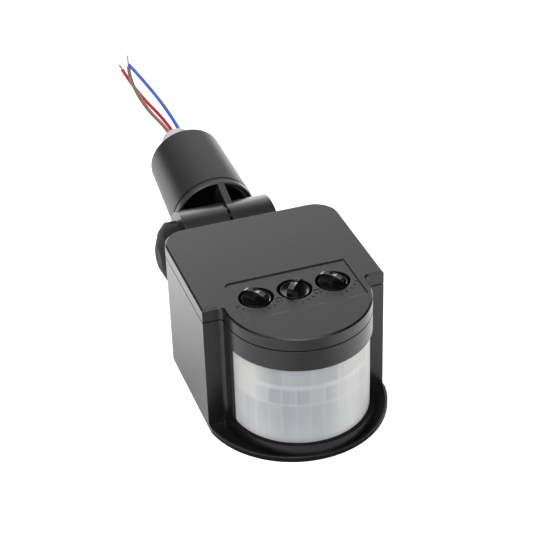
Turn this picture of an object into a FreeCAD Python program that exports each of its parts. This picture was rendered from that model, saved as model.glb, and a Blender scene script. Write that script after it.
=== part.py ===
"""Passive infrared motion sensor switch for an outdoor lamp.

A box-shaped head holds a half-round lens at the front and three setting knobs on top.
A tilting arm behind it ends in a round sleeve that plugs into the lamp, with three wire leads.

Frame: X across the head, Y from front to back, Z up. The origin is on the underside of the
head, midway across, in the plane of the two front shoulders. All sizes are in millimetres.
"""
import FreeCAD, Part
import Sketcher
import math
import os

App = FreeCAD
Vector = App.Vector

doc = App.newDocument("motion_sensor_switch")

# Driving sizes. A size written as a sum follows the sizes it names.

SIZES = [
    ("half_width", 31.0),
    ("depth", 49.3),
    ("body_top", 42.2),
    ("gasket_height", 0.4),
    ("gasket_inset", 0.7),
    ("cover_height", 4.5),
    ("rear_corner", 8.5),
    ("wall", 2.0),
    ("floor_top", 2.2),
    ("cover_wall", 3.2),
    ("cover_skin", 2.0),
    ("cover_edge", 0.5),
    ("shoulder_fillet", 1.6),
    ("drum_centre", -2.43),
    ("drum_radius", 24.25),
    ("drum_wall", 3.25),
    ("lens_inset", 0.85),
    ("lens_sheet", 0.9),
    ("lens_play", 0.05),
    ("lens_hold_low", 2.5),
    ("lens_hold_high", 3.3),
    ("window_bottom", 5.7),
    ("hoop_height", 7.3),
    ("jamb_back", -0.6),
    ("lip_step", 0.75),
    ("brim_over", 0.48),
    ("brim_ahead", 0.92),
    ("brim_thickness", 1.1),
    ("rim_height", 2.0),
    ("rim_width", 0.9),
    ("post_radius", 3.2),
    ("cover_post_radius", 2.7),
    ("post_inset", 5.0),
    ("post_front_y", 5.2),
    ("rear_post_inset", 6.0),
    ("post_drop", 12.2),
    ("post_gap", 0.3),
    ("screw_radius", 1.45),
    ("screw_hole", 1.7),
    ("head_radius", 2.6),
    ("head_recess", 3.0),
    ("recess_top", 8.0),
    ("screw_length", 31.0),
    ("panel_depth", 0.35),
    ("panel_half", 20.9),
    ("panel_front", -9.7),
    ("panel_back", 12.0),
    ("panel_corner", 2.4),
    ("knob_shift", 0.7),
    ("knob_row", 1.5),
    ("knob_pitch", 13.1),
    ("knob_hole", 5.8),
    ("well_wall", 0.6),
    ("knob_gap", 1.1),
    ("knob_sink", 0.6),
    ("knob_disc", 2.0),
    ("grip_half", 0.95),
    ("grip_end", 1.7),
    ("grip_rise", 2.9),
    ("shaft_radius", 1.6),
    ("shaft_play", 0.05),
    ("trimmer_side", 4.7),
    ("trimmer_drop", 8.8),
    ("trimmer_height", 4.8),
    ("board_thickness", 1.6),
    ("header_height", 1.9),
    ("main_front", 8.5),
    ("board_play", 0.6),
    ("surge_radius", 5.2),
    ("sensor_height", 19.5),
    ("can_radius", 4.55),
    ("can_flange", 5.2),
    ("window_half", 2.35),
    ("hinge_reach", 21.8),
    ("hinge_height", 23.5),
    ("arm_tilt", 7.5),
    ("arm_rise", 1.0),
    ("lug_radius", 15.0),
    ("lug_left", -17.3),
    ("joint_gap", 0.55),
    ("tooth_height", 0.45),
    ("tooth_inner", 9.0),
    ("tooth_width", 1.6),
    ("tooth_count", 24),
    ("fork_right", 16.5),
    ("rib_width", 2.6),
    ("bolt_radius", 2.5),
    ("bolt_play", 0.05),
    ("base_radius", 17.0),
    ("base_thickness", 4.0),
    ("base_edge", 0.9),
    ("bracket_screw_x", 8.0),
    ("bracket_screw_z", 9.0),
    ("passage_radius", 2.8),
    ("passage_x", -8.0),
    ("passage_z", -8.0),
    ("flange_radius", 15.4),
    ("flange_front", 15.4),
    ("flange_thickness", 2.4),
    ("journal_radius", 13.8),
    ("journal_wall", 1.2),
    ("journal_length", 10.1),
    ("sleeve_gap", 0.4),
    ("sleeve_length", 34.8),
    ("sleeve_radius", 15.5),
    ("sleeve_taper", 1.5),
    ("sleeve_play", 0.05),
    ("sleeve_edge", 0.7),
    ("sleeve_room", 12.0),
    ("end_wall", 2.6),
    ("outlet_radius", 7.2),
    ("collar_play", 0.05),
    ("collar_flange", 9.5),
    ("collar_length", 13.0),
    ("collar_tip", 5.6),
    ("collar_bore", 4.2),
    ("wire_grip", 6.0),
    ("wire_radius", 0.75),
    ("washer_thickness", 0.6),
    ("washer_radius", 6.0),
    ("lock_play", 0.1),
    ("lock_rim", 3.6),
    ("lock_grips", 18),
    ("grip_groove", 1.3),
    ("lock_length", 8.5),
    ("lock_radius", 12.0),
    ("insert_radius", 3.6),
    ("insert_length", 5.5),
    ("cover_bottom", "body_top + gasket_height"),
    ("cover_top", "cover_bottom + cover_height"),
    ("frame_inner", "drum_radius - drum_wall"),
    ("lens_radius", "drum_radius - lens_inset"),
    ("lens_inner", "lens_radius - lens_sheet"),
    ("slot_outer", "lens_radius + lens_play"),
    ("slot_inner", "lens_inner - lens_play"),
    ("window_top", "body_top - hoop_height"),
    ("lens_bottom", "window_bottom - lens_hold_low"),
    ("lens_top", "window_top + lens_hold_high"),
    ("lip_radius", "drum_radius + lip_step"),
    ("brim_radius", "half_width + brim_over"),
    ("brim_centre", "drum_centre - lip_radius - brim_ahead + brim_radius"),
    ("post_front_x", "half_width - post_inset"),
    ("post_rear_x", "half_width - rear_post_inset"),
    ("post_rear_y", "depth - rear_post_inset"),
    ("post_top", "body_top - post_drop"),
    ("screw_end", "recess_top + screw_length"),
    ("panel_floor", "cover_top - panel_depth"),
    ("knob_top", "cover_top - knob_sink"),
    ("knob_bottom", "knob_top - knob_disc"),
    ("knob_radius", "knob_hole - knob_gap"),
    ("trimmer_bore", "shaft_radius + shaft_play"),
    ("trimmer_top", "cover_top - trimmer_drop"),
    ("board_top", "trimmer_top - trimmer_height"),
    ("board_bottom", "board_top - board_thickness"),
    ("main_top", "board_bottom - header_height"),
    ("main_back", "main_front + board_thickness"),
    ("can_front", "main_front - 6.2"),
    ("main_half", "half_width - wall - board_play"),
    ("hinge_back", "depth + hinge_reach"),
    ("bolt_clear", "bolt_radius + bolt_play"),
    ("flange_back", "flange_front + flange_thickness"),
    ("journal_inner", "journal_radius - journal_wall"),
    ("journal_end", "flange_back + journal_length"),
    ("sleeve_start", "flange_back + sleeve_gap"),
    ("sleeve_end", "sleeve_start + sleeve_length"),
    ("sleeve_far_radius", "sleeve_radius - sleeve_taper"),
    ("sleeve_bore", "journal_radius + sleeve_play"),
    ("collar_start", "sleeve_end - end_wall"),
    ("collar_neck", "outlet_radius - collar_play"),
    ("collar_end", "sleeve_end + collar_length"),
    ("knob_face", "lug_left - washer_thickness - lock_play"),
    ("knob_tip", "knob_face - lock_length"),
    ("insert_end", "knob_face - insert_length"),
]

sheet = doc.addObject("Spreadsheet::Sheet", "Sizes")
value_of = {}


def number(term):
    """The number for a term: a plain number, or size names and numbers joined by + and -."""
    if isinstance(term, (int, float)):
        return float(term)
    total = 0.0
    sign = 1.0
    for word in term.split():
        if word == "+":
            sign = 1.0
        elif word == "-":
            sign = -1.0
        else:
            total += sign * (value_of[word] if word in value_of else float(word))
            sign = 1.0
    return total


for row, (name, size) in enumerate(SIZES, start=1):
    value_of[name] = number(size)
    sheet.set("A%d" % row, name)
    sheet.set("B%d" % row, "=" + size if isinstance(size, str) else str(size))
    sheet.setAlias("B%d" % row, name)
doc.recompute()


# Small helpers.

def formula(term):
    """The same term as an expression on the size sheet."""
    words = str(term).split()
    return " ".join("Sizes." + word if word in value_of else word for word in words)


def named(term):
    """True when the term uses a size from the sheet."""
    return isinstance(term, str) and any(word in value_of for word in term.split())


def bind(thing, path, term):
    """Ties a property or a sketch constraint to the size sheet."""
    if named(term):
        thing.setExpression(path, formula(term))


class Piece:
    """One solid body, built feature by feature in its own axes."""

    ROLES = {"XY": "XY_Plane", "XZ": "XZ_Plane", "YZ": "YZ_Plane"}

    def __init__(self, label):
        self.body = doc.addObject("PartDesign::Body", label)
        self.body.Label = label
        self.count = 0

    def origin(self, role):
        for feature in self.body.Origin.OriginFeatures:
            if feature.Role == role:
                return feature
        raise ValueError(role)

    def sketch(self, plane, level):
        """A sketch on one origin plane, moved along that plane's normal to the level."""
        self.count += 1
        name = "%s_sketch_%d" % (self.body.Label, self.count)
        drawing = self.body.newObject("Sketcher::SketchObject", name)
        drawing.AttachmentSupport = [(self.origin(self.ROLES[plane]), "")]
        drawing.MapMode = "FlatFace"
        # The normal of the XZ plane points to -Y, so its levels change sign.
        side = -1.0 if plane == "XZ" else 1.0
        drawing.AttachmentOffset = App.Placement(Vector(0, 0, side * number(level)), App.Rotation())
        if named(level):
            text = formula(level)
            drawing.setExpression("AttachmentOffset.Base.z", text if side > 0 else "-(" + text + ")")
        return drawing

    def solid(self, plane, low, high, *shapes):
        """Adds material between two levels, inside the drawn outlines."""
        drawing = self.sketch(plane, low)
        for shape in shapes:
            shape(drawing)
        pad = self.body.newObject("PartDesign::Pad", "%s_pad_%d" % (self.body.Label, self.count))
        pad.Profile = drawing
        pad.Length = number(high) - number(low)
        if named(high) or named(low):
            pad.setExpression("Length", "(" + formula(high) + ") - (" + formula(low) + ")")
        pad.Reversed = plane == "XZ"
        doc.recompute()
        return pad

    def cut(self, plane, low, high, *shapes):
        """Takes material away between two levels, inside the drawn outlines."""
        before = self.body.Shape.Volume
        drawing = self.sketch(plane, low)
        for shape in shapes:
            shape(drawing)
        pocket = self.body.newObject("PartDesign::Pocket", "%s_cut_%d" % (self.body.Label, self.count))
        pocket.Profile = drawing
        pocket.Length = number(high) - number(low)
        if named(high) or named(low):
            pocket.setExpression("Length", "(" + formula(high) + ") - (" + formula(low) + ")")
        pocket.Reversed = plane != "XZ"
        doc.recompute()
        if self.body.Shape.Volume > before - 1e-3:
            raise RuntimeError("%s cuts nothing" % pocket.Name)
        return pocket

    def spin(self, axis, shape, level=0.0):
        """Turns a profile, drawn in a level plane, around that plane's X or Y axis."""
        drawing = self.sketch("XY", level)
        shape(drawing)
        name = "%s_turned_%d" % (self.body.Label, self.count)
        turned = self.body.newObject("PartDesign::Revolution", name)
        turned.Profile = drawing
        turned.ReferenceAxis = (drawing, ["H_Axis" if axis == "X" else "V_Axis"])
        turned.Angle = 360.0
        doc.recompute()
        return turned

    def repeat(self, feature, count):
        """Repeats one feature evenly around the X axis."""
        pattern = self.body.newObject("PartDesign::PolarPattern", self.body.Label + "_ring")
        pattern.Originals = [feature]
        pattern.Axis = (self.origin("X_Axis"), [""])
        pattern.Angle = 360.0
        pattern.Occurrences = int(number(count))
        bind(pattern, "Occurrences", count)
        self.body.Tip = pattern
        doc.recompute()

    def edges(self, test):
        """Names of the edges of the present shape that pass a test."""
        names = []
        for index, edge in enumerate(self.body.Shape.Edges, start=1):
            if test(edge):
                names.append("Edge%d" % index)
        if not names:
            raise RuntimeError("no edge found on " + self.body.Label)
        return names

    def round(self, radius, test):
        """Rounds the edges that pass the test."""
        names = self.edges(test)
        last = self.body.Tip
        name = "%s_round_%d" % (self.body.Label, len(self.body.Group))
        fillet = self.body.newObject("PartDesign::Fillet", name)
        fillet.Base = (last, names)
        fillet.Radius = number(radius)
        bind(fillet, "Radius", radius)
        self.body.Tip = fillet
        doc.recompute()
        return fillet

    def bevel(self, size, test):
        """Bevels the edges that pass the test."""
        names = self.edges(test)
        last = self.body.Tip
        name = "%s_bevel_%d" % (self.body.Label, len(self.body.Group))
        chamfer = self.body.newObject("PartDesign::Chamfer", name)
        chamfer.Base = (last, names)
        chamfer.Size = number(size)
        bind(chamfer, "Size", size)
        self.body.Tip = chamfer
        doc.recompute()
        return chamfer

    def move(self, x, y, z, axis=None, degrees=0.0):
        """Places the finished body in the object's frame."""
        turn = App.Rotation(axis, number(degrees)) if axis else App.Rotation()
        self.body.Placement = App.Placement(Vector(number(x), number(y), number(z)), turn)
        for letter, term in zip("xyz", (x, y, z)):
            bind(self.body, "Placement.Base." + letter, term)
        if named(degrees):
            self.body.setExpression("Placement.Rotation.Angle", "(" + formula(degrees) + ") * 1 deg")


def rectangle(x0, x1, y0, y1):
    """An outline of four sides at the given coordinates."""
    def draw(drawing):
        corners = [(x0, y0), (x1, y0), (x1, y1), (x0, y1)]
        points = [Vector(number(x), number(y), 0) for x, y in corners]
        first = drawing.GeometryCount
        for index in range(4):
            drawing.addGeometry(Part.LineSegment(points[index], points[(index + 1) % 4]), False)
        for index in range(4):
            following = first + (index + 1) % 4
            drawing.addConstraint(Sketcher.Constraint("Coincident", first + index, 2, following, 1))
        for line in (first, first + 2):
            drawing.addConstraint(Sketcher.Constraint("Horizontal", line))
        for line in (first + 1, first + 3):
            drawing.addConstraint(Sketcher.Constraint("Vertical", line))
        place(drawing, first, 1, x0, y0)
        place(drawing, first + 2, 1, x1, y1)
    return draw


def circle(x, y, radius):
    """A round outline."""
    def draw(drawing):
        centre = Vector(number(x), number(y), 0)
        index = drawing.addGeometry(Part.Circle(centre, Vector(0, 0, 1), number(radius)), False)
        place(drawing, index, 3, x, y)
        limit = drawing.addConstraint(Sketcher.Constraint("Radius", index, number(radius)))
        bind(drawing, "Constraints[%d]" % limit, radius)
    return draw


def outline(*corners):
    """A closed outline of straight sides through the given corners."""
    def draw(drawing):
        points = [Vector(number(x), number(y), 0) for x, y in corners]
        first = drawing.GeometryCount
        total = len(points)
        for index in range(total):
            drawing.addGeometry(Part.LineSegment(points[index], points[(index + 1) % total]), False)
        for index in range(total):
            following = first + (index + 1) % total
            drawing.addConstraint(Sketcher.Constraint("Coincident", first + index, 2, following, 1))
        for index, (x, y) in enumerate(corners):
            place(drawing, first + index, 1, x, y)
    return draw


def half_ring(outer, inner, leg_end):
    """A half ring at the front of the drum, with two straight legs going back."""
    def draw(drawing):
        y = number("drum_centre")
        centre = Vector(0, y, 0)
        up = Vector(0, 0, 1)
        arcs = []
        for radius in (outer, inner):
            ring = Part.Circle(centre, up, number(radius))
            arcs.append(drawing.addGeometry(Part.ArcOfCircle(ring, math.pi, 2 * math.pi), False))
        for arc, radius in zip(arcs, (outer, inner)):
            place(drawing, arc, 3, 0.0, "drum_centre")
            limit = drawing.addConstraint(Sketcher.Constraint("Radius", arc, number(radius)))
            bind(drawing, "Constraints[%d]" % limit, radius)
            for end in (1, 2):
                level(drawing, arc, end, "drum_centre")
        for side, end in ((-1.0, 1), (1.0, 2)):
            far = side * number(outer)
            near = side * number(inner)
            back = number(leg_end)
            corners = [Vector(far, y, 0), Vector(far, back, 0), Vector(near, back, 0), Vector(near, y, 0)]
            sides = [drawing.addGeometry(Part.LineSegment(*pair), False)
                     for pair in zip(corners, corners[1:])]
            outer_leg, closing, inner_leg = sides
            drawing.addConstraint(Sketcher.Constraint("Coincident", arcs[0], end, outer_leg, 1))
            drawing.addConstraint(Sketcher.Constraint("Coincident", outer_leg, 2, closing, 1))
            drawing.addConstraint(Sketcher.Constraint("Coincident", closing, 2, inner_leg, 1))
            drawing.addConstraint(Sketcher.Constraint("Coincident", inner_leg, 2, arcs[1], end))
            drawing.addConstraint(Sketcher.Constraint("Vertical", outer_leg))
            drawing.addConstraint(Sketcher.Constraint("Vertical", inner_leg))
            drawing.addConstraint(Sketcher.Constraint("Horizontal", closing))
            level(drawing, closing, 1, leg_end)
    return draw


def level(drawing, index, point, y):
    """Holds one point of a sketch at a height."""
    limit = drawing.addConstraint(Sketcher.Constraint("DistanceY", index, point, number(y)))
    bind(drawing, "Constraints[%d]" % limit, y)


def place(drawing, index, point, x, y):
    """Holds one point of a sketch at its two coordinates."""
    limit = drawing.addConstraint(Sketcher.Constraint("DistanceX", index, point, number(x)))
    bind(drawing, "Constraints[%d]" % limit, x)
    level(drawing, index, point, y)


def upright(x, y):
    """Test for a vertical edge at one or both sides of the middle plane."""
    def test(edge):
        ends = [vertex.Point for vertex in edge.Vertexes]
        if len(ends) != 2 or abs(ends[0].x - ends[1].x) > 0.01:
            return False
        across = abs(number(x))
        along = number(y)
        return all(abs(abs(p.x) - across) < 0.01 and abs(p.y - along) < 0.01 for p in ends)
    return test


def at_height(z):
    """Test for an edge that lies in a level plane."""
    def test(edge):
        box = edge.BoundBox
        return abs(box.ZMin - number(z)) < 0.01 and abs(box.ZMax - number(z)) < 0.01
    return test


def at_depth(y):
    """Test for an edge that lies in a plane across the Y axis."""
    def test(edge):
        box = edge.BoundBox
        return abs(box.YMin - number(y)) < 0.01 and abs(box.YMax - number(y)) < 0.01
    return test


def at_side(low, high):
    """Test for an edge that lies in one of two planes across the X axis."""
    def test(edge):
        box = edge.BoundBox
        flat = abs(box.XMax - box.XMin) < 0.01
        return flat and min(abs(box.XMin - number(low)), abs(box.XMin - number(high))) < 0.01
    return test


def hollow(piece, low, high):
    """Cuts the room inside the walls, with round rear corners, and the room inside the drum."""
    side = "half_width - wall"
    corner = "half_width - rear_corner"
    turn = "depth - rear_corner"
    piece.cut("XY", low, high, rectangle("- half_width + wall", side, "wall", turn))
    piece.cut("XY", low, high, rectangle("- half_width + rear_corner", corner, "wall", "depth - wall"))
    for x in ("- half_width + rear_corner", corner):
        piece.cut("XY", low, high, circle(x, turn, "rear_corner - wall"))
    piece.cut("XY", low, high, circle(0.0, "drum_centre", "frame_inner"))


POSTS = [
    ("front_left", "- post_front_x", "post_front_y"),
    ("front_right", "post_front_x", "post_front_y"),
    ("rear_left", "- post_rear_x", "post_rear_y"),
    ("rear_right", "post_rear_x", "post_rear_y"),
]


# Housing.

# The lower shell: a box with rounded rear corners, a half-round front that frames the lens
# with a hoop above and a lip below, and a wide brim with a raised rim under the lens.
housing = Piece("housing")
housing.solid("XY", 0.0, "body_top", rectangle("- half_width", "half_width", 0.0, "depth"))
housing.round("rear_corner", upright("half_width", "depth"))
housing.solid("XY", 0.0, "body_top", circle(0.0, "drum_centre", "drum_radius"))
housing.solid("XY", 0.0, "body_top", rectangle("- drum_radius", "drum_radius", "drum_centre", "wall"))
housing.round("shoulder_fillet", upright("drum_radius", 0.0))
housing.solid("XY", 0.0, "window_bottom", circle(0.0, "drum_centre", "lip_radius"))
housing.solid("XY", 0.0, "brim_thickness", circle(0.0, "brim_centre", "brim_radius"))
housing.solid("XY", 0.0, "rim_height", circle(0.0, "brim_centre", "brim_radius"),
              circle(0.0, "brim_centre", "brim_radius - rim_width"))
# The brim ends flush with the two side faces.
for near, far in (("half_width", "half_width + brim_radius"),
                  ("- half_width - brim_radius", "- half_width")):
    housing.cut("XY", -1.0, "rim_height + 1.0",
                rectangle(near, far, "brim_centre - brim_radius", "brim_centre + brim_radius"))
hollow(housing, "floor_top", "body_top + 1.0")
housing.cut("XY", "window_bottom", "window_top",
            rectangle("- drum_radius - 3.0", "drum_radius + 3.0",
                      "drum_centre - drum_radius - 3.0", "drum_centre"))
housing.cut("XY", "lens_bottom - 0.2", "lens_top + 0.2", half_ring("slot_outer", "slot_inner", "jamb_back"))
for name, x, y in POSTS:
    housing.solid("XY", "floor_top - 0.5", "post_top", circle(x, y, "post_radius"))
for name, x, y in POSTS:
    housing.cut("XY", -1.0, "post_top + 1.0", circle(x, y, "screw_hole"))
for name, x, y in POSTS:
    housing.cut("XY", -1.0, "recess_top", circle(x, y, "head_recess"))
# Two ribs hold the main board from behind.
for near, far in (("half_width - 3.8", "half_width - 1.5"), ("- half_width + 1.5", "- half_width + 3.8")):
    housing.solid("XY", "floor_top - 0.5", "post_top",
                  rectangle(near, far, "main_back + 0.2", "main_back + 1.8"))
housing.cut("XZ", "depth - wall - 1.3", "depth + 1.0",
            circle("passage_x", "hinge_height + passage_z", "passage_radius"),
            circle("bracket_screw_x", "hinge_height + bracket_screw_z", "screw_hole"),
            circle("bracket_screw_x", "hinge_height - bracket_screw_z", "screw_hole"))

# Top cover.

# A thick lid with the same outline, a soft top edge, a shallow label panel and three
# round wells for the knobs. Tongues and screw posts reach down into the shell.
UNDERSIDE = "cover_bottom - 1.0"
SKIN = "cover_top - cover_skin"
cover = Piece("top_cover")
cover.solid("XY", "cover_bottom", "cover_top", rectangle("- half_width", "half_width", 0.0, "depth"))
cover.round("rear_corner", upright("half_width", "depth"))
cover.solid("XY", "cover_bottom", "cover_top", circle(0.0, "drum_centre", "drum_radius"))
cover.solid("XY", "cover_bottom", "cover_top",
            rectangle("- drum_radius", "drum_radius", "drum_centre", "wall"))
cover.round("shoulder_fillet", upright("drum_radius", 0.0))
cover.bevel("cover_edge", at_height("cover_top"))
cover.cut("XY", UNDERSIDE, SKIN,
          rectangle("- half_width + cover_wall", "half_width - cover_wall",
                    "cover_wall", "depth - rear_corner"))
cover.cut("XY", UNDERSIDE, SKIN,
          rectangle("- half_width + rear_corner", "half_width - rear_corner",
                    "cover_wall", "depth - cover_wall"))
cover.cut("XY", UNDERSIDE, SKIN, circle(0.0, "drum_centre", "frame_inner - 1.0"))
for name, x, y in POSTS:
    cover.solid("XY", "post_top + post_gap", "cover_top - 1.5", circle(x, y, "cover_post_radius"))
for name, x, y in POSTS:
    cover.cut("XY", "post_top - 1.0", "screw_end + 1.0", circle(x, y, "screw_radius"))
for near, far in (("half_width - wall - 1.5", "half_width - wall - 0.3"),
                  ("- half_width + wall + 0.3", "- half_width + wall + 1.5")):
    cover.solid("XY", "body_top - 2.6", "cover_bottom + 0.5",
                rectangle(near, far, "post_front_y + 3.8", "post_rear_y - 5.3"))
# The rear tongue ends beside the bracket screws.
cover.solid("XY", "body_top - 2.6", "cover_bottom + 0.5",
            rectangle("- half_width + rear_corner + 0.5", "bracket_screw_x - 4.5",
                      "depth - wall - 1.5", "depth - wall - 0.3"))
cover.cut("XY", "panel_floor", "cover_top + 1.0",
          rectangle("knob_shift - panel_half", "knob_shift + panel_half", "panel_front", "panel_back"))
cover.round("panel_corner", upright("knob_shift - panel_half", "panel_back"))
WELLS = ["knob_shift - knob_pitch", "knob_shift", "knob_shift + knob_pitch"]
for x in WELLS:
    cover.solid("XY", "cover_bottom + 0.4", "cover_top - 1.0",
                circle(x, "knob_row", "knob_hole + well_wall"))
for x in WELLS:
    cover.cut("XY", UNDERSIDE, "cover_top + 1.0", circle(x, "knob_row", "knob_hole"))

SEAM = "gasket_inset"
gasket = Piece("cover_gasket")
gasket.solid("XY", "body_top", "cover_bottom",
             rectangle("- half_width + " + SEAM, "half_width - " + SEAM, SEAM, "depth - " + SEAM))
gasket.round("rear_corner - " + SEAM, upright("half_width - " + SEAM, "depth - " + SEAM))
gasket.solid("XY", "body_top", "cover_bottom", circle(0.0, "drum_centre", "drum_radius - " + SEAM))
gasket.solid("XY", "body_top", "cover_bottom",
             rectangle("- drum_radius + " + SEAM, "drum_radius - " + SEAM, "drum_centre", "wall"))
hollow(gasket, "body_top - 1.0", "cover_bottom + 1.0")

# Lens.

# A thin bent sheet. Its edges sit in the slot of the hoop, the lip and the two jambs.
lens = Piece("lens")
lens.solid("XY", "lens_bottom", "lens_top", half_ring("lens_radius", "lens_inner", "jamb_back - 0.2"))

# Case screws.

for name, x, y in POSTS:
    screw = Piece(name + "_screw")
    screw.solid("XY", "recess_top - 2.1", "recess_top", circle(x, y, "head_radius"))
    screw.solid("XY", "recess_top - 0.5", "screw_end", circle(x, y, "screw_radius"))
    for half_x, half_y in ((" 1.5", " 0.35"), (" 0.35", " 1.5")):
        screw.cut("XY", "recess_top - 3.0", "recess_top - 1.0",
                  rectangle(x + " -" + half_x, x + " +" + half_x, y + " -" + half_y, y + " +" + half_y))

# Setting knobs and their trimmers.

# Each knob is a flat disc below the panel with a thin arched fin across it.
FIN = "knob_radius - 0.15"
KNOBS = [("left", WELLS[0], -57.0), ("middle", WELLS[1], -132.0), ("right", WELLS[2], -53.0)]
for name, x, turn in KNOBS:
    knob = Piece(name + "_knob")
    knob.solid("XY", "knob_bottom", "knob_top", circle(0.0, 0.0, "knob_radius"))
    knob.solid("XY", "trimmer_top - 1.9", "knob_bottom + 0.5", circle(0.0, 0.0, "shaft_radius"))
    knob.solid("XZ", "- grip_half", "grip_half", outline(
        ("- " + FIN.replace("-", "+"), "knob_top - 0.4"),
        (FIN, "knob_top - 0.4"),
        (FIN, "knob_top + grip_end"),
        (FIN + " - 1.2", "knob_top + grip_rise - 0.55"),
        (1.3, "knob_top + grip_rise"),
        (-1.3, "knob_top + grip_rise"),
        ("- " + FIN.replace("-", "+") + " + 1.2", "knob_top + grip_rise - 0.55"),
        ("- " + FIN.replace("-", "+"), "knob_top + grip_end"),
    ))
    knob.move(x, "knob_row", 0.0, Vector(0, 0, 1), turn)
    trimmer = Piece(name + "_trimmer")
    trimmer.solid("XY", "board_top", "trimmer_top",
                  rectangle("- trimmer_side", "trimmer_side", "- trimmer_side", "trimmer_side"))
    trimmer.cut("XY", "trimmer_top - 2.2", "trimmer_top + 1.0", circle(0.0, 0.0, "trimmer_bore"))
    trimmer.bevel(0.5, upright("trimmer_side", "trimmer_side"))
    trimmer.move(x, "knob_row", 0.0)

control = Piece("control_board")
control.solid("XY", "board_bottom", "board_top",
              rectangle("knob_shift - knob_pitch - 5.3", "knob_shift + knob_pitch + 5.3",
                        "knob_row - 8.7", "knob_row + 10.1"))

header = Piece("board_header")
header.solid("XY", "main_top", "board_bottom", rectangle(-8.0, 8.0, "main_front - 0.4", "main_front + 2.0"))

main_board = Piece("main_board")
main_board.solid("XZ", "main_front", "main_back",
                 rectangle("- main_half", "main_half", "floor_top", "main_top"))

# Parts on the main board.

WINDOW = rectangle("- window_half", "window_half", "sensor_height - 1.95", "sensor_height + 1.95")
can = Piece("sensor_can")
can.solid("XZ", "can_front", "main_front - 1.9", circle(0.0, "sensor_height", "can_radius"))
can.solid("XZ", "main_front - 2.0", "main_front - 1.4", circle(0.0, "sensor_height", "can_flange"))
can.cut("XZ", "can_front - 1.0", "can_front + 0.3", WINDOW)

window = Piece("sensor_window")
window.solid("XZ", "can_front", "can_front + 0.3", WINDOW)

for name, x, z in (("left", -1.8, ""), ("right", 1.8, ""), ("lower", 0.0, " - 1.8")):
    pin = Piece("sensor_pin_" + name)
    pin.solid("XZ", "main_front - 1.4", "main_front", circle(x, "sensor_height" + z, 0.3))

light = Piece("light_sensor")
light.solid("XZ", "main_front - 2.2", "main_front", circle(12.0, "sensor_height + 5.5", 2.55))
light.bevel(0.3, at_depth("main_front - 2.2"))

relay = Piece("relay")
relay.solid("XZ", "main_back", "main_back + 15.3",
            rectangle(-21.5, -6.0, "floor_top + 3.8", "floor_top + 22.8"))
relay.bevel(0.5, at_depth("main_back + 15.3"))

film = Piece("film_capacitor")
film.solid("XZ", "main_back", "main_back + 11.9",
           rectangle(-2.5, 4.5, "floor_top + 3.8", "floor_top + 21.3"))
film.bevel(0.6, at_depth("main_back + 11.9"))

smoothing = Piece("smoothing_capacitor")
smoothing.solid("XZ", "main_back", "main_back + 12.0", circle(13.0, "floor_top + 9.8", 5.0))
smoothing.bevel(0.5, at_depth("main_back + 12.0"))

chip = Piece("driver_chip")
chip.solid("XZ", "main_back", "main_back + 3.3",
           rectangle(9.0, 18.8, "floor_top + 17.8", "floor_top + 24.2"))

surge = Piece("surge_disc")
surge.solid("YZ", "main_half - 4.2", "main_half - 1.0",
            circle("main_back + surge_radius + 2.7", "floor_top + 9.8", "surge_radius"))
surge.bevel(0.8, at_side("main_half - 4.2", "main_half - 1.0"))
surge.solid("XZ", "main_back", "main_back + 4.4",
            circle("main_half - 2.6", "floor_top + 7.8", 0.4),
            circle("main_half - 2.6", "floor_top + 11.8", 0.4))

# Rear bracket, in axes centred on the hinge.

BACK = "- hinge_reach"
bracket = Piece("rear_bracket")
bracket.solid("XZ", BACK, BACK + " + base_thickness", circle(0.0, 0.0, "base_radius"))
bracket.bevel("base_edge", at_depth(BACK + " + base_thickness"))
bracket.solid("XZ", BACK + " + base_thickness - 1.0", -4.0, rectangle("lug_left + 1.5", -2.0, -12.5, 9.5))
bracket.solid("YZ", "lug_left", "- joint_gap", circle(0.0, 0.0, "lug_radius"))
bracket.cut("YZ", "lug_left - 1.0", 1.0, circle(0.0, 0.0, "bolt_clear"))
bracket.cut("XZ", BACK + " - 1.0", "lug_radius + 1.0", circle("passage_x", "passage_z", "passage_radius"))
bracket.cut("XZ", BACK + " - 1.0", BACK + " + base_thickness - 0.8",
            circle("bracket_screw_x", "bracket_screw_z", "screw_radius"),
            circle("bracket_screw_x", "- bracket_screw_z", "screw_radius"))


def teeth(piece, low, high, first_angle):
    """A crown of radial teeth around the X axis. Each tooth is widest at its outer end."""
    turn = math.radians(first_angle)
    inner = number("tooth_inner")
    outer = number("lug_radius - 0.3")
    corners = []
    for reach, side in ((inner, -0.5), (outer, -0.5), (outer, 0.5), (inner, 0.5)):
        aside = side * number("tooth_width") * reach / outer
        y = reach * math.cos(turn) - aside * math.sin(turn)
        z = reach * math.sin(turn) + aside * math.cos(turn)
        corners.append((round(y, 4), round(z, 4)))
    piece.repeat(piece.solid("YZ", low, high, outline(*corners)), "tooth_count")


teeth(bracket, "- joint_gap", "- joint_gap + tooth_height", 0.0)
bracket.move(0.0, "hinge_back", "hinge_height")

for name, z in (("upper", "hinge_height + bracket_screw_z"), ("lower", "hinge_height - bracket_screw_z")):
    screw = Piece("bracket_screw_" + name)
    screw.solid("XZ", "depth - wall - 2.0", "depth - wall", circle("bracket_screw_x", z, "head_radius"))
    screw.solid("XZ", "depth - wall - 0.8", "depth + base_thickness - 1.0",
                circle("bracket_screw_x", z, "screw_radius"))
    for half_x, half_z in ((" 1.5", " 0.35"), (" 0.35", " 1.5")):
        screw.cut("XZ", "depth - wall - 3.0", "depth - wall - 1.0",
                  rectangle("bracket_screw_x -" + half_x, "bracket_screw_x +" + half_x,
                            z + " -" + half_z, z + " +" + half_z))

# Arm, in axes centred on the hinge.

# From here on +Y runs along the arm. The whole arm is then turned up about the hinge.
TILT_AXIS = Vector(1, 0, 0)


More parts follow.
